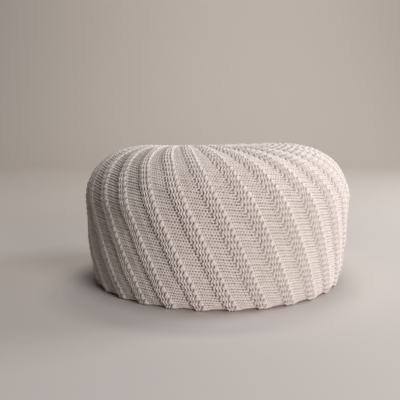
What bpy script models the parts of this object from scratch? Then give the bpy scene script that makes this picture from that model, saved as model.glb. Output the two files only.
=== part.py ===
"""Round floor pouf: one firmly filled body under a crocheted cover.

The body is a turned form with a flat base, slightly fuller sides above the
middle, a soft shoulder and a low crown that has sagged a little on one side.
Spiral ribs stand up from the cover. They start at the base, climb the side at
a slant and run in over the crown until they fade out around a plain round
centre.
"""
import bisect
import math

import bmesh
import bpy

# Driving dimensions in metres, the height as it would be without the sag
RADIUS = 0.400
HEIGHT = 0.435
WIDEST_HEIGHT = 0.263
BASE_RADIUS = 0.368

# Shape of the turned form: higher numbers make squarer corners
BASE_EDGE_CURVE = 1.4
BASE_EDGE_FULLNESS = 2.1
SHOULDER_CURVE = 1.8
SHOULDER_FULLNESS = 3.83

# The sag of the crown: how deep, where, how wide, and how fast it fades down
SAG_DEPTH = 0.041
SAG_X = -0.030
SAG_Y = 0.121
SAG_WIDTH = 0.187
SAG_FADE = 4

# Spiral ribs
RIB_COUNT = 28
RIB_RISE = 0.0060
RIB_SLANT = 0.475
FIRST_RIB = 0.019
RIB_HALF_WIDTH = 0.19
BAND_SWELL = 0.0010
RIB_END_RADIUS = 0.130
RIB_FADE_LENGTH = 0.050
RIB_FOOT_LENGTH = 0.012

# Net of the surface: places across one rib and its band, as shares of their
# pitch, with the rib's crest at 0, and the spacing of the rounds
SECTION_PLACES = (-0.19, -0.12, 0.0, 0.12, 0.19, 0.40, 0.60)
ROUND_SPACING = 0.027
FIRST_ROUNDS = (0.0, 0.012, 0.027)
PROFILE_STEPS = 200

YARN_COLOUR = (0.78, 0.74, 0.69, 1.0)
YARN_ROUGHNESS = 0.95


def radius_below_widest(height):
    """Return the side's radius between the base and the widest height."""
    rise = height / WIDEST_HEIGHT
    share = (1.0 - (1.0 - rise) ** BASE_EDGE_CURVE) ** (1.0 / BASE_EDGE_FULLNESS)
    return BASE_RADIUS + (RADIUS - BASE_RADIUS) * share


def height_above_widest(radius):
    """Return the height of the shoulder and crown at a radius."""
    share = (1.0 - (radius / RADIUS) ** SHOULDER_FULLNESS) ** (1.0 / SHOULDER_CURVE)
    return WIDEST_HEIGHT + (HEIGHT - WIDEST_HEIGHT) * share


def radius_above_widest(height):
    """Return the shoulder's radius above the widest height."""
    rise = (height - WIDEST_HEIGHT) / (HEIGHT - WIDEST_HEIGHT)
    return RADIUS * (1.0 - rise ** SHOULDER_CURVE) ** (1.0 / SHOULDER_FULLNESS)


def profile_points():
    """Return (radius, height) points from the base's edge to the crown's rib ends."""
    points = []
    for step in range(PROFILE_STEPS):
        height = WIDEST_HEIGHT * (step / PROFILE_STEPS) ** 2
        points.append((radius_below_widest(height), height))
    turn_height = WIDEST_HEIGHT + 0.7 * (HEIGHT - WIDEST_HEIGHT)
    for step in range(PROFILE_STEPS):
        height = WIDEST_HEIGHT + (turn_height - WIDEST_HEIGHT) * step / PROFILE_STEPS
        points.append((radius_above_widest(height), height))
    turn_radius = radius_above_widest(turn_height)
    for step in range(PROFILE_STEPS + 1):
        radius = turn_radius + (RIB_END_RADIUS - turn_radius) * step / PROFILE_STEPS
        points.append((radius, height_above_widest(radius)))
    return points


def measured_profile():
    """Return lengths along the profile, its points and the ribs' turn at each."""
    points = profile_points()
    lengths = [0.0]
    turns = [0.0]
    for (radius_a, height_a), (radius_b, height_b) in zip(points, points[1:]):
        step = math.hypot(radius_b - radius_a, height_b - height_a)
        lengths.append(lengths[-1] + step)
        turns.append(turns[-1] - RIB_SLANT * step / radius_b)
    widest = turns[PROFILE_STEPS]
    turns = [FIRST_RIB + turn - widest for turn in turns]
    return lengths, points, turns


def at_length(length, lengths, values):
    """Read a value, or a pair of values, at a length along the profile."""
    upper = min(max(bisect.bisect_right(lengths, length), 1), len(lengths) - 1)
    lower = upper - 1
    share = (length - lengths[lower]) / (lengths[upper] - lengths[lower])
    share = min(max(share, 0.0), 1.0)
    if isinstance(values[0], tuple):
        return tuple(a + (b - a) * share for a, b in zip(values[lower], values[upper]))
    return values[lower] + (values[upper] - values[lower]) * share


def round_lengths(total):
    """Return where the rounds of the net lie along the profile."""
    count = round((total - FIRST_ROUNDS[-1]) / ROUND_SPACING)
    spacing = (total - FIRST_ROUNDS[-1]) / count
    later = [FIRST_ROUNDS[-1] + spacing * (step + 1) for step in range(count)]
    return list(FIRST_ROUNDS) + later


def section_inset(place):
    """Return how far the cover lies below the rib's crest at a place across it."""
    if abs(place) <= RIB_HALF_WIDTH:
        return RIB_RISE * (abs(place) / RIB_HALF_WIDTH) ** 2
    across = (place - RIB_HALF_WIDTH) / (1.0 - 2.0 * RIB_HALF_WIDTH)
    return RIB_RISE - BAND_SWELL * math.sin(math.pi * across)


def rib_strength(length, total):
    """Return 0 to 1: the ribs run out at the base's edge and near the centre."""
    foot = min(length / RIB_FOOT_LENGTH, 1.0)
    end = min((total - length) / RIB_FADE_LENGTH, 1.0)
    return foot * end


def sag(x, y, height):
    """Return how far the crown has sunk at a place."""
    distance = math.hypot(x - SAG_X, y - SAG_Y)
    share = math.exp(-0.5 * (distance / SAG_WIDTH) ** 2)
    return SAG_DEPTH * share * (height / HEIGHT) ** SAG_FADE


def cover_point(column, length, profile):
    """Return the place of one point of the cover's surface."""
    lengths, points, turns = profile
    total = lengths[-1]
    rib, part = divmod(column, len(SECTION_PLACES))
    place = SECTION_PLACES[part]
    angle = 2.0 * math.pi * (rib + place) / RIB_COUNT + at_length(length, lengths, turns)
    radius, height = at_length(length, lengths, points)
    step = 0.002
    ahead = at_length(length + step, lengths, points)
    behind = at_length(length - step, lengths, points)
    run = math.hypot(ahead[0] - behind[0], ahead[1] - behind[1])
    outward = (ahead[1] - behind[1]) / run
    upward = (behind[0] - ahead[0]) / run
    inset = section_inset(place) * rib_strength(length, total)
    radius -= inset * outward
    height -= inset * upward
    x = radius * math.sin(angle)
    y = -radius * math.cos(angle)
    return x, y, height - sag(x, y, height)


def build_pouf():
    """Wrap a grid into the ribbed cover and close its base and its centre."""
    profile = measured_profile()
    rounds = round_lengths(profile[0][-1])
    columns = RIB_COUNT * len(SECTION_PLACES)
    rows = len(rounds) - 1
    mesh = bpy.data.meshes.new("crochet_pouf")
    bm = bmesh.new()
    bmesh.ops.create_grid(bm, x_segments=columns, y_segments=rows, size=0.5)
    for vert in bm.verts:
        column = round((vert.co.x + 0.5) * columns) % columns
        row = round((vert.co.y + 0.5) * rows)
        vert.co = cover_point(column, rounds[row], profile)
    bmesh.ops.remove_doubles(bm, verts=bm.verts, dist=0.00005)
    rims = [edge for edge in bm.edges if edge.is_boundary]
    caps = bmesh.ops.holes_fill(bm, edges=rims, sides=0)["faces"]
    crown = max(caps, key=lambda face: face.calc_center_median().z)
    centre = bmesh.ops.poke(bm, faces=[crown])["verts"][0]
    centre.co.z = HEIGHT - sag(0.0, 0.0, HEIGHT)
    bmesh.ops.recalc_face_normals(bm, faces=bm.faces)
    bm.to_mesh(mesh)
    bm.free()
    mesh.shade_smooth()
    pouf = bpy.data.objects.new("crochet_pouf", mesh)
    bpy.context.scene.collection.objects.link(pouf)
    return pouf


def yarn_material():
    """Return the off-white cotton yarn of the cover."""
    material = bpy.data.materials.new("off_white_yarn")
    material.use_nodes = True
    shader = material.node_tree.nodes["Principled BSDF"]
    shader.inputs["Base Color"].default_value = YARN_COLOUR
    shader.inputs["Roughness"].default_value = YARN_ROUGHNESS
    shader.inputs["Metallic"].default_value = 0.0
    return material


for old in list(bpy.data.objects):
    bpy.data.objects.remove(old, do_unlink=True)

pouf = build_pouf()
pouf.data.materials.append(yarn_material())
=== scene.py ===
import math

import bpy
import numpy as np
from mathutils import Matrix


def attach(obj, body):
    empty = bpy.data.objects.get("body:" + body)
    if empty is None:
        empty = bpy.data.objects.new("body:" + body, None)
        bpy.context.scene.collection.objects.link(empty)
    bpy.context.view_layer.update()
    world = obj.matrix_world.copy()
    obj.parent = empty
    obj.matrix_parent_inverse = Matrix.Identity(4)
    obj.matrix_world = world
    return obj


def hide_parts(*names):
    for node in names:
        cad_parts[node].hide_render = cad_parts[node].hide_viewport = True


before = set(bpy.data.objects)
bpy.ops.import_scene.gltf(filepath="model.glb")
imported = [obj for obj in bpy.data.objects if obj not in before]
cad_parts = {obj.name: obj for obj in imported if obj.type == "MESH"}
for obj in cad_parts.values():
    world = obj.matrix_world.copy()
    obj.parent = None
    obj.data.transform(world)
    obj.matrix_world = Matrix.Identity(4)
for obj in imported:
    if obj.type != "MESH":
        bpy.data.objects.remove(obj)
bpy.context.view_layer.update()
bpy.ops.object.select_all(action="DESELECT")


# The filled body under the cover.
# A firm round form with a flat base, a soft shoulder and a low crown that has sagged a little behind its middle.
# Everything on the cover is placed by its distance along this form, from the edge of the base up and in.
RADIUS = 0.400
HEIGHT = 0.435
WIDEST_HEIGHT = 0.263
BASE_RADIUS = 0.368
BASE_EDGE_CURVE = 1.4
BASE_EDGE_FULLNESS = 2.1
SHOULDER_CURVE = 1.8
SHOULDER_FULLNESS = 3.83
SAG_DEPTH = 0.041
SAG_PLACE = (-0.030, 0.121)
SAG_WIDTH = 0.187
SAG_FADE = 4
SHOULDER_SHARE = 0.7
FORM_STEPS = 1500


def trace_form():
    """Return radius and height along the form, from the middle of the base to the middle of the crown."""
    under = np.linspace(0.0, BASE_RADIUS, FORM_STEPS, endpoint=False)
    low = WIDEST_HEIGHT * np.linspace(0.0, 1.0, FORM_STEPS, endpoint=False) ** 2
    fullness = (1.0 - (1.0 - low / WIDEST_HEIGHT) ** BASE_EDGE_CURVE) ** (1.0 / BASE_EDGE_FULLNESS)
    rise = np.linspace(0.0, SHOULDER_SHARE, FORM_STEPS, endpoint=False)
    shoulder = RADIUS * (1.0 - rise ** SHOULDER_CURVE) ** (1.0 / SHOULDER_FULLNESS)
    turn_radius = RADIUS * (1.0 - SHOULDER_SHARE ** SHOULDER_CURVE) ** (1.0 / SHOULDER_FULLNESS)
    top = np.linspace(turn_radius, 0.0, FORM_STEPS)
    flatness = (1.0 - (top / RADIUS) ** SHOULDER_FULLNESS) ** (1.0 / SHOULDER_CURVE)
    radius = np.concatenate([under, BASE_RADIUS + (RADIUS - BASE_RADIUS) * fullness, shoulder, top])
    climb = HEIGHT - WIDEST_HEIGHT
    height = np.concatenate([under * 0.0, low, WIDEST_HEIGHT + climb * rise, WIDEST_HEIGHT + climb * flatness])
    return radius, height


form_radius, form_height = trace_form()
form_step = np.hypot(np.diff(form_radius), np.diff(form_height))
form_length = np.concatenate([[0.0], np.cumsum(form_step)]) - BASE_RADIUS
form_out = np.gradient(form_height, form_length)
form_up = -np.gradient(form_radius, form_length)


def form_at(length):
    """Return radius, height and outward direction at lengths along the form."""
    values = (form_radius, form_height, form_out, form_up)
    return [np.interp(length, form_length, value) for value in values]


def sag(x, y, height):
    """Return how far the crown has sunk at places on it."""
    distance = np.hypot(x - SAG_PLACE[0], y - SAG_PLACE[1])
    return SAG_DEPTH * np.exp(-0.5 * (distance / SAG_WIDTH) ** 2) * (height / HEIGHT) ** SAG_FADE


# The crocheted cover.
# One piece of thick off-white cotton cord, worked in the round: plain bands with a hole under each stitch, larger
# on every second round, and spiral ribs of raised, wavy upright stitches with a row of loose loops at their right.
# Each rib steps one stitch sideways every two rounds. It is worked here round by round over the form.
RIBS = 28
SIDE_STITCHES = 12
PLAIN_STITCHES = 4
CENTRE_STITCHES = RIBS // 4
STITCH = 2.0 * math.pi * RADIUS / (RIBS * SIDE_STITCHES)
ROUND = 0.00815
RIB_SLANT = 0.475
FIRST_RIB = 0.019
RIB_END_RADIUS = 0.130
RIB_FADE_ROUNDS = 7.0

# points of the surface to each stitch and each round, above the base's edge and under the base
CELLS = 4
UNDER_CELLS = 3

# places across a rib and its band, in stitches from the rib's left edge
LEFT_EDGE = -1.3
NARROWING = 1.0
HOLE_PLACE = -0.45
CREST_PLACE = 2.0
BAND_PLACE = 4.2
NEAR_RIB = 2.5

# how far the bands lie below the ribs, in shares of the full drop at places across, and how far they swell out
BAND_DROP = 0.0030
LEVEL_PLACES = (-1.0, -0.4, 0.1, 2.4, 3.2, 4.2, 5.4, 6.8)
LEVELS = (-1.0, -0.6, 0.0, 0.0, -0.15, -0.25, -0.65, -1.0)
BAND_SWELL = 0.0010

# at the floor the ribs run out, and the bands lie deeper and lift a little, each over so many rounds
FOOT_FADE_ROUNDS = 0.8
FOOT_DROP = 0.0035
FOOT_DROP_ROUNDS = 1.3
FOOT_LIFT = 0.0035
FOOT_LIFT_ROUNDS = 1.8

# sideways moves in stitches: the lean of the loops, the sway of the upright stitches and the steps of the rib's
# edges, and how far a round rises and falls across a rib and its band
LEAN_PLACES = (-0.5, 0.5, 1.5, 2.5, 3.0, 4.0, 4.6, 6.0, 9.0)
LEANS = (0.0, 0.08, 0.15, 0.35, 0.50, 0.50, 0.32, 0.12, 0.0)
SWAY = 0.30
SWAY_PLACES = (-1.3, -0.8, 2.5, 3.6)
SWAY_SHARES = (0.0, 1.0, 1.0, 0.0)
STEP = 0.16
ROW_TILT = 0.22

# upright stitches: the grooves between them, and how they go in and out from round to round
GROOVE_DEPTH = 0.0050
GROOVE_SHARPNESS = 1.6
GROOVE_BEAT = 0.3
GROOVE_PLACES = (-1.3, -1.0, 2.2, 2.9)
GROOVE_SHARES = (0.0, 1.0, 1.0, 0.1)
POST_BEAT = -0.0006
POST_LEAN = 0.0006

# plain stitches: a hole's depth and its reach sideways in stitches and upwards in rounds, how much that varies,
# where across there are holes, how much deeper they are beside a rib, and the knots between them
BIG_HOLE = (0.0044, 0.25, 0.27)
SMALL_HOLE = (0.0040, 0.22, 0.28)
HOLE_JITTER = 0.25
HOLE_PLACES = (-1.2, -0.8, 3.6, 4.0)
HOLE_SHARES = (1.0, 0.0, 0.0, 1.0)
EDGE_HOLES = 0.5
KNOT_RISE = 0.0004

# grooves along plain rounds: the depth on rounds with big and with small holes, and the reach in rounds
ROW_GROOVE = (0.0040, 0.0030)
ROW_REACH = 0.28

# the loops at the rib's right, the slanting hollow beside each, and the slot at the rib's left
LOOP_PLACE = 4.35
LOOP_REACH = (0.62, 0.80)
LOOP_RISE = 0.0026
LOOP_SINK = 0.15
LOOP_JITTER = 0.1
STROKE_PLACE = 3.75
STROKE_LEAN = 1.25
STROKE_WIDTH = 0.27
STROKE_DEPTH = 0.0026
STROKE_HEIGHTS = (-1.0, -0.8, 0.2, 0.5)
STROKE_SHARES = (0.3, 1.0, 1.0, 0.0)
SLOT_PLACE = -1.0
SLOT = (0.0026, 0.42, 0.30)

# painted shade: how dark each hollow and groove is painted for the shade that falls into it, from 0 to 1
HOLE_PAINTED_SHADES = (0.95, 0.85)
EDGE_HOLE_PAINTED_SHADE = 0.3
ROW_PAINTED_SHADES = (0.26, 0.17)
GROOVE_PAINTED_SHADE = 0.66
GROOVE_PAINTED_SHADE_BEAT = 0.4
STROKE_PAINTED_SHADE = 0.48
CENTRE_PAINTED_SHADE = 0.6

# the slow unevenness of hand work: sideways in stitches, in and out in metres, how large its features are, how
# far the whole cover sinks in with it, the height over which it grows from the floor, and the waves it is made of
UNEVEN_TURN = 0.16
UNEVEN_RISES = (0.0013, 0.0005)
UNEVEN_SIZES = (0.11, 0.22, 0.06)
UNEVEN_INSET = 0.0012
UNEVEN_FLOOR = 0.03
UNEVEN_KINDS = 4
WAVES = 12
WAVE_RANGE = 3.5
SEED = 28

# what makes each stitch a little different, by its place in its round and by its round
JITTER_TURNS = (97.0, 61.0)

# where the crown and the base close: the room around their last points, and how far the crown's point dips
CROWN_GAP_ROUNDS = 0.1
CROWN_DIP = 0.003
BASE_GAP = 0.001

# nearer the middle than this, sideways moves and the ribs' turn no longer grow
SHIFT_RADIUS = 0.05
TURN_RADIUS = 0.02

rng = np.random.default_rng(SEED)
slow_waves = rng.normal(size=(UNEVEN_KINDS, WAVES, 3))
slow_phases = rng.uniform(0.0, 2.0 * np.pi, size=(UNEVEN_KINDS, WAVES))


def unevenness(points, kind, size):
    """Return a slow, seeded variation between about -1 and 1 over the cover, with features of one size."""
    value = np.zeros(len(points))
    for wave, phase in zip(slow_waves[kind], slow_phases[kind]):
        value += np.sin(points @ (wave * 2.0 * np.pi / size) + phase)
    return value / WAVE_RANGE


def dimple(sideways, along, reach):
    """Return 1 in the middle of a dimple, falling to 0 around it."""
    return np.exp(-(sideways / reach[0]) ** 2 - (along / reach[1]) ** 2)


def plain_stitches(column, rounds, jitter):
    """Return the height and the painted shade of plain stitches: a hole under each, large and small on alternate
    rounds.
    """
    big_row = 2.0 * round(rounds / 2.0)
    small_row = big_row + (1.0 if rounds > big_row else -1.0)
    big = dimple(column - np.round(column), rounds - big_row, BIG_HOLE[1:]) * (1.0 + HOLE_JITTER * jitter)
    beside = column - 0.5
    small = dimple(beside - np.round(beside), rounds - small_row, SMALL_HOLE[1:]) * (1.0 - HOLE_JITTER * jitter)
    relief = -BIG_HOLE[0] * big - SMALL_HOLE[0] * small
    relief -= KNOT_RISE * np.cos(2.0 * np.pi * column) * math.cos(math.pi * rounds)
    under_big = math.exp(-((rounds - big_row) / ROW_REACH) ** 2)
    under_small = math.exp(-((rounds - small_row) / ROW_REACH) ** 2)
    relief -= ROW_GROOVE[0] * under_big + ROW_GROOVE[1] * under_small
    # painted shade in the holes and along the grooves of the rounds
    painted_darkness = HOLE_PAINTED_SHADES[0] * big + HOLE_PAINTED_SHADES[1] * small
    return relief, np.maximum(painted_darkness, ROW_PAINTED_SHADES[0] * under_big + ROW_PAINTED_SHADES[1] * under_small)


def ribbed_stitches(column, across, seen, rounds, jitter):
    """Return the height and the painted shade of ribs at the form's surface, with plain bands below them."""
    stepped = across - STEP * math.sin(math.pi * rounds)
    drop = BAND_DROP + FOOT_DROP * math.exp(-rounds / FOOT_DROP_ROUNDS)
    level = drop * np.interp(stepped, LEVEL_PLACES, LEVELS)
    band_end = SIDE_STITCHES + LEFT_EDGE
    level += BAND_SWELL * np.sin(np.pi * np.clip((stepped - BAND_PLACE) / (band_end - BAND_PLACE), 0.0, 1.0))
    plain, plain_painted_darkness = plain_stitches(column, rounds, jitter)
    open_work = np.interp(across, HOLE_PLACES, HOLE_SHARES)
    near_rib = np.clip(across - (band_end - NEAR_RIB), 0.0, 1.0)
    groove = (0.5 + 0.5 * np.cos(2.0 * np.pi * column)) ** GROOVE_SHARPNESS
    groove = groove * np.interp(across, GROOVE_PLACES, GROOVE_SHARES)
    beat = math.cos(math.pi * rounds)
    post = POST_BEAT * beat + POST_LEAN * math.sin(math.pi * rounds)
    relief = level + plain * open_work * (1.0 + EDGE_HOLES * near_rib)
    relief += post * (1.0 - open_work) - GROOVE_DEPTH * groove * (1.0 + GROOVE_BEAT * beat)
    along = rounds - 2.0 * round(rounds / 2.0)
    stroke = np.exp(-((seen - STROKE_PLACE - STROKE_LEAN * along) / STROKE_WIDTH) ** 2)
    stroke *= np.interp(along, STROKE_HEIGHTS, STROKE_SHARES)
    beside = (seen - LOOP_PLACE - STROKE_LEAN * along - LOOP_JITTER * jitter) / LOOP_REACH[0]
    reach = np.hypot(beside, (along + LOOP_SINK) / LOOP_REACH[1])
    relief += LOOP_RISE * np.sqrt(np.clip(1.0 - reach ** 2, 0.0, 1.0)) - STROKE_DEPTH * stroke
    slot = dimple(across - SLOT_PLACE, 1.0 - abs(along), SLOT[1:])
    relief -= SLOT[0] * slot
    # painted shade in the holes, the grooves between upright stitches, the slanting hollows and the slot
    painted_darkness = plain_painted_darkness * open_work * (1.0 + EDGE_HOLE_PAINTED_SHADE * near_rib)
    painted_darkness += GROOVE_PAINTED_SHADE * groove * (1.0 + GROOVE_PAINTED_SHADE_BEAT * beat)
    painted_darkness = np.maximum(painted_darkness, np.maximum(STROKE_PAINTED_SHADE * stroke, GROOVE_PAINTED_SHADE * slot))
    return relief, painted_darkness


def work_round(rounds, start, ribs, stitches, plain, cells):
    """Return the points and the painted shade, by depth, of one round's line of the cover's surface."""
    column = np.arange(ribs * stitches * cells) / cells
    place = column + 0.5 * (rounds - start) + HOLE_PLACE
    across = np.mod(place - LEFT_EDGE, stitches) + LEFT_EDGE
    jitter = np.sin(JITTER_TURNS[0] * np.round(column) + JITTER_TURNS[1] * round(rounds))
    fade = min(max(rounds / FOOT_FADE_ROUNDS, 0.0), 1.0)
    fade *= min(max((rib_end_rounds - rounds) / RIB_FADE_ROUNDS, 0.0), 1.0)
    relief, painted_darkness = plain_stitches(column, rounds, jitter)
    shift = np.zeros(len(column))
    if not plain:
        squeeze = (SIDE_STITCHES + LEFT_EDGE - NARROWING) / (stitches + LEFT_EDGE - NARROWING)
        across = np.where(across > NARROWING, NARROWING + (across - NARROWING) * squeeze, across)
        sway = SWAY * (1.0 + math.cos(math.pi * rounds)) * np.interp(across, SWAY_PLACES, SWAY_SHARES)
        shift = sway + np.interp(across, LEAN_PLACES, LEANS)
        ribbed, ribbed_painted_darkness = ribbed_stitches(column, across, across + shift, rounds, jitter)
        relief += (ribbed - relief) * fade
        painted_darkness += (ribbed_painted_darkness - painted_darkness) * fade
        shift *= fade
    tilt = ROW_TILT * fade * np.sin(2.0 * np.pi * (place - CREST_PLACE) / stitches)
    length = ROUND * (rounds + tilt)
    turn = np.interp(length, form_length, form_turn)
    angle = 2.0 * np.pi * (place - CREST_PLACE) / (ribs * stitches) + turn
    radius, height, out, up = form_at(length)
    foot = np.mod((angle - turn) * RIBS * SIDE_STITCHES / (2.0 * np.pi) + CREST_PLACE - LEFT_EDGE, SIDE_STITCHES)
    lift = -FOOT_LIFT * math.exp(-(rounds / FOOT_LIFT_ROUNDS) ** 2)
    lift = lift * np.interp(foot + LEFT_EDGE, LEVEL_PLACES, LEVELS)
    middle = np.stack([radius * np.sin(angle), -radius * np.cos(angle), height], axis=1)
    shift = shift + UNEVEN_TURN * unevenness(middle, 0, UNEVEN_SIZES[0])
    angle = angle + STITCH * shift / np.maximum(radius, SHIFT_RADIUS)
    swell = UNEVEN_RISES[0] * unevenness(middle, 1, UNEVEN_SIZES[1])
    swell += UNEVEN_RISES[1] * unevenness(middle, 2, UNEVEN_SIZES[2])
    swell = (swell - UNEVEN_INSET) * np.clip(height / UNEVEN_FLOOR, 0.0, 1.0)
    radius = radius + (relief + swell) * out
    height = np.maximum(height + lift + (relief + swell) * up, 0.0)
    x = radius * np.sin(angle)
    y = -radius * np.cos(angle)
    return np.stack([x, y, height - sag(x, y, height)], axis=1), np.clip(1.0 - painted_darkness, 0.0, 1.0)


# ribs turn steadily as they climb, from the crest that faces the front at the widest height
form_turn = -RIB_SLANT * np.cumsum(np.concatenate([[0.0], form_step / np.maximum(form_radius[1:], TURN_RADIUS)]))
widest = 2 * FORM_STEPS
form_turn += FIRST_RIB - form_turn[widest]
crown = slice(widest, None)


def rounds_at_radius(radius):
    """Return the round, counted from the base's edge, where the crown has a radius."""
    length = np.interp(-radius, -form_radius[crown], form_length[crown])
    return length / ROUND


def even(value):
    """Return the nearest even whole number."""
    return int(2 * round(value / 2))


rib_end_rounds = even(rounds_at_radius(RIB_END_RADIUS))
last_round = form_length[-1] / ROUND
stitch_ring = RIBS * STITCH / (2.0 * np.pi)


def plan_rounds():
    """Return the stretches of the cover: first round, last round, ribs, stitches to a rib, plain or not, cells."""
    plan = []
    under_radius = BASE_RADIUS
    for stitches in range(SIDE_STITCHES - 1, 0, -1):
        inner = (stitches - 0.5) * stitch_ring
        first = (inner - BASE_RADIUS) / ROUND
        plan.append((first, (under_radius - BASE_RADIUS) / ROUND, RIBS, stitches, True, UNDER_CELLS))
        under_radius = inner
    end = (under_radius - BASE_RADIUS) / ROUND
    plan.append((-BASE_RADIUS / ROUND, end, CENTRE_STITCHES, 1, True, UNDER_CELLS))
    plan.reverse()
    start = 0
    for stitches in range(SIDE_STITCHES, PLAIN_STITCHES, -1):
        end = even(rounds_at_radius(max((stitches - 0.5) * stitch_ring, RIB_END_RADIUS)))
        if end > start:
            plan.append((start, end, RIBS, stitches, False, CELLS))
        start = end
    for stitches in range(PLAIN_STITCHES, 0, -1):
        end = rounds_at_radius((stitches - 0.5) * stitch_ring)
        if end > start:
            plan.append((start, end, RIBS, stitches, True, CELLS))
            start = end
    plan.append((start, last_round, CENTRE_STITCHES, 1, True, CELLS))
    return plan


def zip_rounds(lower, upper):
    """Return triangles that join two rounds with different numbers of points, matched by where they lie."""
    first_a, ring_a = lower
    first_b, ring_b = upper
    count_a, begin_a, turns_a = ring_a
    count_b, begin_b, turns_b = ring_b
    a = b = 0
    faces = []
    while a < count_a or b < count_b:
        if b >= count_b or (a < count_a and turns_a[a + 1] <= turns_b[b + 1]):
            faces.append((first_a + (begin_a + a) % count_a, first_a + (begin_a + a + 1) % count_a,
                          first_b + (begin_b + b) % count_b))
            a += 1
        else:
            faces.append((first_a + (begin_a + a) % count_a, first_b + (begin_b + b + 1) % count_b,
                          first_b + (begin_b + b) % count_b))
            b += 1
    return faces


def ring_turns(ring):
    """Return a ring's number of points, the one nearest the front and how far round the others lie from it."""
    angles = np.arctan2(ring[:, 0], -ring[:, 1])
    begin = int(np.argmin(np.abs(angles)))
    angles = np.unwrap(angles)
    angles = np.concatenate([angles[begin:], angles[:begin + 1] + 2.0 * np.pi])
    turns = angles - angles[0]
    return len(ring), begin, np.maximum.accumulate(turns)


def work_cover():
    """Work the whole cover and return its points, their painted shade and place, its faces and the round of each.
    """
    points, painted_shading, spots, quads, quad_rounds, triangles, triangle_rounds = [], [], [], [], [], [], []
    total = 0
    below = None
    for start, end, ribs, stitches, plain, cells in plan_rounds():
        lines = max(int(round((end - start) * cells)), 1)
        for line in range(lines):
            rounds = start + (end - start) * line / lines
            if rounds * ROUND + BASE_RADIUS < BASE_GAP or last_round - rounds < CROWN_GAP_ROUNDS:
                continue
            ring, shade = work_round(rounds, start, ribs, stitches, plain, cells)
            here = (total, ring_turns(ring))
            if below is not None and line > 0:
                index = np.arange(len(ring))
                beside = (index + 1) % len(ring)
                quads.append(np.stack([below[0] + index, below[0] + beside, here[0] + beside, here[0] + index], 1))
                quad_rounds.append(np.full(len(index), rounds))
            elif below is not None:
                joined = zip_rounds(below, here)
                triangles += joined
                triangle_rounds += [rounds] * len(joined)
            points.append(ring)
            painted_shading.append(shade)
            spots.append(np.stack([np.arange(len(ring)) / len(ring), np.full(len(ring), rounds)], axis=1))
            total += len(ring)
            below = here
    first_count = len(points[0])
    bottom, top = total, total + 1
    points.append(np.array([[0.0, 0.0, 0.0], [0.0, 0.0, HEIGHT - sag(0.0, 0.0, HEIGHT) - CROWN_DIP]]))
    # painted shade: the middle points of the crown and the base are painted half dark, like a hollow
    painted_shading.append(np.array([CENTRE_PAINTED_SHADE, CENTRE_PAINTED_SHADE]))
    spots.append(np.array([[0.0, -BASE_RADIUS / ROUND], [0.0, last_round]]))
    for a in range(first_count):
        triangles.append(((a + 1) % first_count, a, bottom))
        triangle_rounds.append(-BASE_RADIUS / ROUND)
    last_count = len(points[-2])
    for a in range(last_count):
        triangles.append((below[0] + a, below[0] + (a + 1) % last_count, top))
        triangle_rounds.append(last_round)
    return (np.concatenate(points), np.concatenate(painted_shading), np.concatenate(spots), np.concatenate(quads),
            np.concatenate(quad_rounds), np.array(triangles), np.array(triangle_rounds))


points, painted_shading, spots, quads, quad_rounds, triangles, triangle_rounds = work_cover()


# the cord's own colour where it is fully lit, then the painted half shade and the painted shade deep in the
# hollows
CORD_COLOUR = (0.78, 0.70, 0.665, 1.0)
PAINTED_HALF_SHADE_COLOUR = (0.50, 0.44, 0.40, 1.0)
PAINTED_HOLLOW_SHADE_COLOUR = (0.20, 0.165, 0.14, 1.0)


def yarn_material():
    """Return the off-white cotton cord: matt, with soft fibres, and with shade painted darker down between the
    stitches.
    """
    material = bpy.data.materials.new("off_white_cotton_cord")
    material.use_nodes = True
    nodes = material.node_tree.nodes
    links = material.node_tree.links
    shader = nodes["Principled BSDF"]
    place = nodes.new("ShaderNodeTexCoord")
    painted_shade_attribute = nodes.new("ShaderNodeAttribute")
    painted_shade_attribute.attribute_name = "painted_hollow_shade"
    # painted shade: the ramp darkens the cord's colour by each point's painted shade
    ramp = nodes.new("ShaderNodeValToRGB")
    ramp.color_ramp.elements[0].position = 0.0
    ramp.color_ramp.elements[0].color = PAINTED_HOLLOW_SHADE_COLOUR
    ramp.color_ramp.elements[1].position = 0.85
    ramp.color_ramp.elements[1].color = CORD_COLOUR
    middle = ramp.color_ramp.elements.new(0.45)
    middle.color = PAINTED_HALF_SHADE_COLOUR
    links.new(painted_shade_attribute.outputs["Fac"], ramp.inputs["Fac"])
    mottle = nodes.new("ShaderNodeTexNoise")
    mottle.inputs["Scale"].default_value = 45.0
    mottle.inputs["Detail"].default_value = 3.0
    links.new(place.outputs["Object"], mottle.inputs["Vector"])
    span = nodes.new("ShaderNodeMapRange")
    span.inputs["To Min"].default_value = 0.90
    span.inputs["To Max"].default_value = 1.06
    links.new(mottle.outputs["Fac"], span.inputs["Value"])
    tint = nodes.new("ShaderNodeVectorMath")
    tint.operation = "SCALE"
    links.new(ramp.outputs["Color"], tint.inputs[0])
    links.new(span.outputs["Result"], tint.inputs["Scale"])
    links.new(tint.outputs["Vector"], shader.inputs["Base Color"])
    fibre = nodes.new("ShaderNodeTexNoise")
    fibre.inputs["Scale"].default_value = 650.0
    fibre.inputs["Detail"].default_value = 4.0
    links.new(place.outputs["Object"], fibre.inputs["Vector"])
    bump = nodes.new("ShaderNodeBump")
    bump.inputs["Strength"].default_value = 0.05
    bump.inputs["Distance"].default_value = 0.0006
    links.new(fibre.outputs["Fac"], bump.inputs["Height"])
    links.new(bump.outputs["Normal"], shader.inputs["Normal"])
    shader.inputs["Roughness"].default_value = 0.95
    shader.inputs["Sheen Weight"].default_value = 0.12
    shader.inputs["Sheen Roughness"].default_value = 0.5
    shader.inputs["Specular IOR Level"].default_value = 0.2
    return material


yarn = yarn_material()

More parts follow.
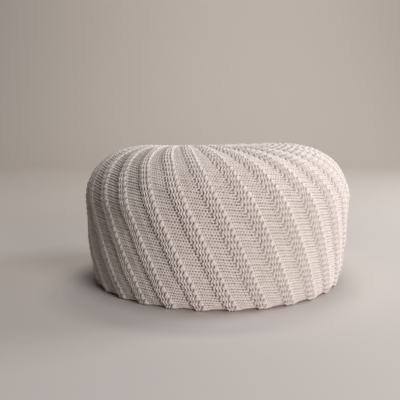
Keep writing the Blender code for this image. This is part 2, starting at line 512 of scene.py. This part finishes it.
# the side is cut in parts along the ribs and the crown in two rings, because a piece may hold only so many faces
PARTS = 4
CROWN_SPLIT_RADIUS = 0.31
FLAT_MARGIN = 0.01
side_end = even(rounds_at_radius((SIDE_STITCHES - 0.5) * stitch_ring))
crown_half = rounds_at_radius(CROWN_SPLIT_RADIUS)


def lay_flat(corners, part):
    """Return flat places for the corners of a side part: across its share of the round, and up its rounds."""
    across = spots[corners, 0] * PARTS - part
    across = np.where(across < -0.5, across + PARTS, across)
    return FLAT_MARGIN + (1.0 - 2.0 * FLAT_MARGIN) * np.stack([across, spots[corners, 1] / side_end], axis=1)


def lay_round(corners, middle, edge):
    """Return flat places for corners around the crown or the base, by distance from its middle."""
    distance = (0.5 - FLAT_MARGIN) * (spots[corners, 1] - middle) / (edge - middle)
    angle = np.arctan2(points[corners, 0], -points[corners, 1])
    return np.stack([0.5 + distance * np.sin(angle), 0.5 - distance * np.cos(angle)], axis=1)


def cut_piece(name, quad_mask, triangle_mask, layout, *values):
    """Make one object from the faces of the cover that the masks choose."""
    corners = np.concatenate([quads[quad_mask].ravel(), triangles[triangle_mask].ravel()])
    sizes = np.concatenate([np.full(quad_mask.sum(), 4), np.full(triangle_mask.sum(), 3)])
    used, index = np.unique(corners, return_inverse=True)
    mesh = bpy.data.meshes.new(name)
    mesh.vertices.add(len(used))
    mesh.vertices.foreach_set("co", points[used].astype(np.float32).ravel())
    mesh.loops.add(len(index))
    mesh.loops.foreach_set("vertex_index", index.astype(np.int32))
    mesh.polygons.add(len(sizes))
    mesh.polygons.foreach_set("loop_start", np.concatenate([[0], np.cumsum(sizes)[:-1]]).astype(np.int32))
    mesh.update(calc_edges=True)
    mesh.uv_layers.new(name="OFBake").uv.foreach_set("vector", layout(corners, *values).astype(np.float32).ravel())
    # painted shade of each point, from 1 on the cord's tops to 0 deep in the hollows
    mesh.attributes.new("painted_hollow_shade", "FLOAT", "POINT").data.foreach_set("value", painted_shading[used].astype(np.float32))
    mesh.shade_smooth()
    mesh.materials.append(yarn)
    piece = bpy.data.objects.new(name, mesh)
    bpy.context.scene.collection.objects.link(piece)
    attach(piece, "root")
    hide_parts("crochet_pouf")


quad_side = (quad_rounds > 0) & (quad_rounds < side_end)
side_columns = RIBS * SIDE_STITCHES * CELLS
order = np.cumsum(quad_side) - 1
part_of = (order % side_columns) * PARTS // side_columns
none = np.zeros(len(triangles), dtype=bool)
for part in range(PARTS):
    cut_piece(f"cover_side_{part + 1}", quad_side & (part_of == part), none, lay_flat, part)
cut_piece("cover_shoulder", (quad_rounds >= side_end) & (quad_rounds < crown_half),
          (triangle_rounds >= side_end) & (triangle_rounds < crown_half), lay_round, last_round, side_end - 1)
cut_piece("cover_crown", quad_rounds >= crown_half, triangle_rounds >= crown_half,
          lay_round, last_round, crown_half - 1)
cut_piece("cover_underside", quad_rounds <= 0, triangle_rounds <= 0, lay_round, -BASE_RADIUS / ROUND, 0)


# The pale floor and backdrop.
# One matt sheet, level under the pouf and swept up into a wall behind it: a plane whose back edge is drawn up and
# whose fold is then rounded.
FLOOR_WIDTH = 14.0
FLOOR_FRONT = -6.0
FLOOR_BACK = 3.2
SWEEP_RADIUS = 1.4
SWEEP_STEPS = 16
WALL_HEIGHT = 5.0
NEAR_FLOOR = 0.1
SWEEP_COLOUR = (0.57, 0.525, 0.50, 1.0)


def sweep_material():
    """Return a matt, faintly warm grey."""
    material = bpy.data.materials.new("pale_sweep")
    material.use_nodes = True
    shader = material.node_tree.nodes["Principled BSDF"]
    shader.inputs["Base Color"].default_value = SWEEP_COLOUR
    shader.inputs["Roughness"].default_value = 0.8
    return material


floor_depth = FLOOR_BACK + SWEEP_RADIUS - FLOOR_FRONT
bpy.ops.object.select_all(action="DESELECT")
bpy.ops.mesh.primitive_plane_add(size=1.0, location=(0.0, FLOOR_FRONT + floor_depth / 2, 0.0))
sweep = bpy.context.active_object
sweep.name = "sweep"
sweep.scale = (FLOOR_WIDTH, floor_depth, 1.0)
bpy.ops.object.transform_apply(location=True, rotation=False, scale=True)
for face in sweep.data.polygons:
    face.select = False
for edge in sweep.data.edges:
    edge.select = all(sweep.data.vertices[index].co.y > FLOOR_BACK for index in edge.vertices)
for vertex in sweep.data.vertices:
    vertex.select = vertex.co.y > FLOOR_BACK
bpy.ops.object.mode_set(mode="EDIT")
bpy.ops.mesh.extrude_region_move(TRANSFORM_OT_translate={"value": (0.0, 0.0, WALL_HEIGHT)})
bpy.ops.object.mode_set(mode="OBJECT")
for face in sweep.data.polygons:
    face.select = False
for edge in sweep.data.edges:
    ends = [sweep.data.vertices[index].co for index in edge.vertices]
    edge.select = all(end.y > FLOOR_BACK and end.z < NEAR_FLOOR for end in ends)
for vertex in sweep.data.vertices:
    vertex.select = vertex.co.y > FLOOR_BACK and vertex.co.z < NEAR_FLOOR
bpy.ops.object.mode_set(mode="EDIT")
bpy.ops.mesh.bevel(offset=SWEEP_RADIUS, segments=SWEEP_STEPS, affect="EDGES")
bpy.ops.object.mode_set(mode="OBJECT")
bpy.ops.object.shade_smooth()
sweep.data.materials.append(sweep_material())


# The light.
# Soft daylight from two windows on the right and from above, with a warm wash on the backdrop and a weak fill.
POUF_MIDDLE = (0.0, 0.0, 0.2)


def add_light(name, place, target, size, power, colour):
    """Add a square area light that faces a target."""
    light = bpy.data.lights.new(name, "AREA")
    light.size = size
    light.energy = power
    light.color = colour
    lamp = bpy.data.objects.new(name, light)
    bpy.context.scene.collection.objects.link(lamp)
    lamp.location = place
    lamp.visible_camera = False
    away = [t - p for t, p in zip(target, place)]
    flat = math.hypot(away[0], away[1])
    lamp.rotation_euler = (math.atan2(flat, -away[2]), 0.0, math.atan2(away[1], away[0]) - math.pi / 2)


add_light("front_window", (1.9, -2.93, 1.15), POUF_MIDDLE, 1.4, 78.0, (1.0, 0.975, 0.955))
add_light("side_window", (3.1, 1.0, 1.6), POUF_MIDDLE, 1.4, 76.0, (0.88, 0.935, 1.0))
add_light("skylight", (-0.2, -0.3, 3.8), POUF_MIDDLE, 1.4, 38.0, (0.97, 0.98, 1.0))
add_light("wall_wash", (0.6, 1.8, 4.4), (0.4, 4.6, 1.2), 1.6, 100.0, (1.0, 0.93, 0.82))
world = bpy.data.worlds.new("room")
world.use_nodes = True
world.node_tree.nodes["Background"].inputs["Color"].default_value = (0.97, 0.86, 0.77, 1.0)
world.node_tree.nodes["Background"].inputs["Strength"].default_value = 0.04
bpy.context.scene.world = world
bpy.context.scene.view_settings.view_transform = "Standard"


# The camera.
# It stands low in front, as in the photograph. Its place, pitch, turn and lens were fitted to the pouf's outline.
CAMERA_DISTANCE = 2.0503
CAMERA_HEIGHT = 0.5585
CAMERA_PITCH = 0.1555
CAMERA_TURN = 0.0253
FOCAL_PIXELS = 670.6
IMAGE_SIZE = 400
SENSOR_WIDTH = 36.0
camera_data = bpy.data.cameras.new("camera")
camera_data.sensor_width = SENSOR_WIDTH
camera_data.lens = FOCAL_PIXELS / IMAGE_SIZE * SENSOR_WIDTH
camera = bpy.data.objects.new("camera", camera_data)
bpy.context.scene.collection.objects.link(camera)
camera.location = (0.0, -CAMERA_DISTANCE, CAMERA_HEIGHT)
camera.rotation_euler = (math.pi / 2 - CAMERA_PITCH, 0.0, CAMERA_TURN)
bpy.context.scene.camera = camera
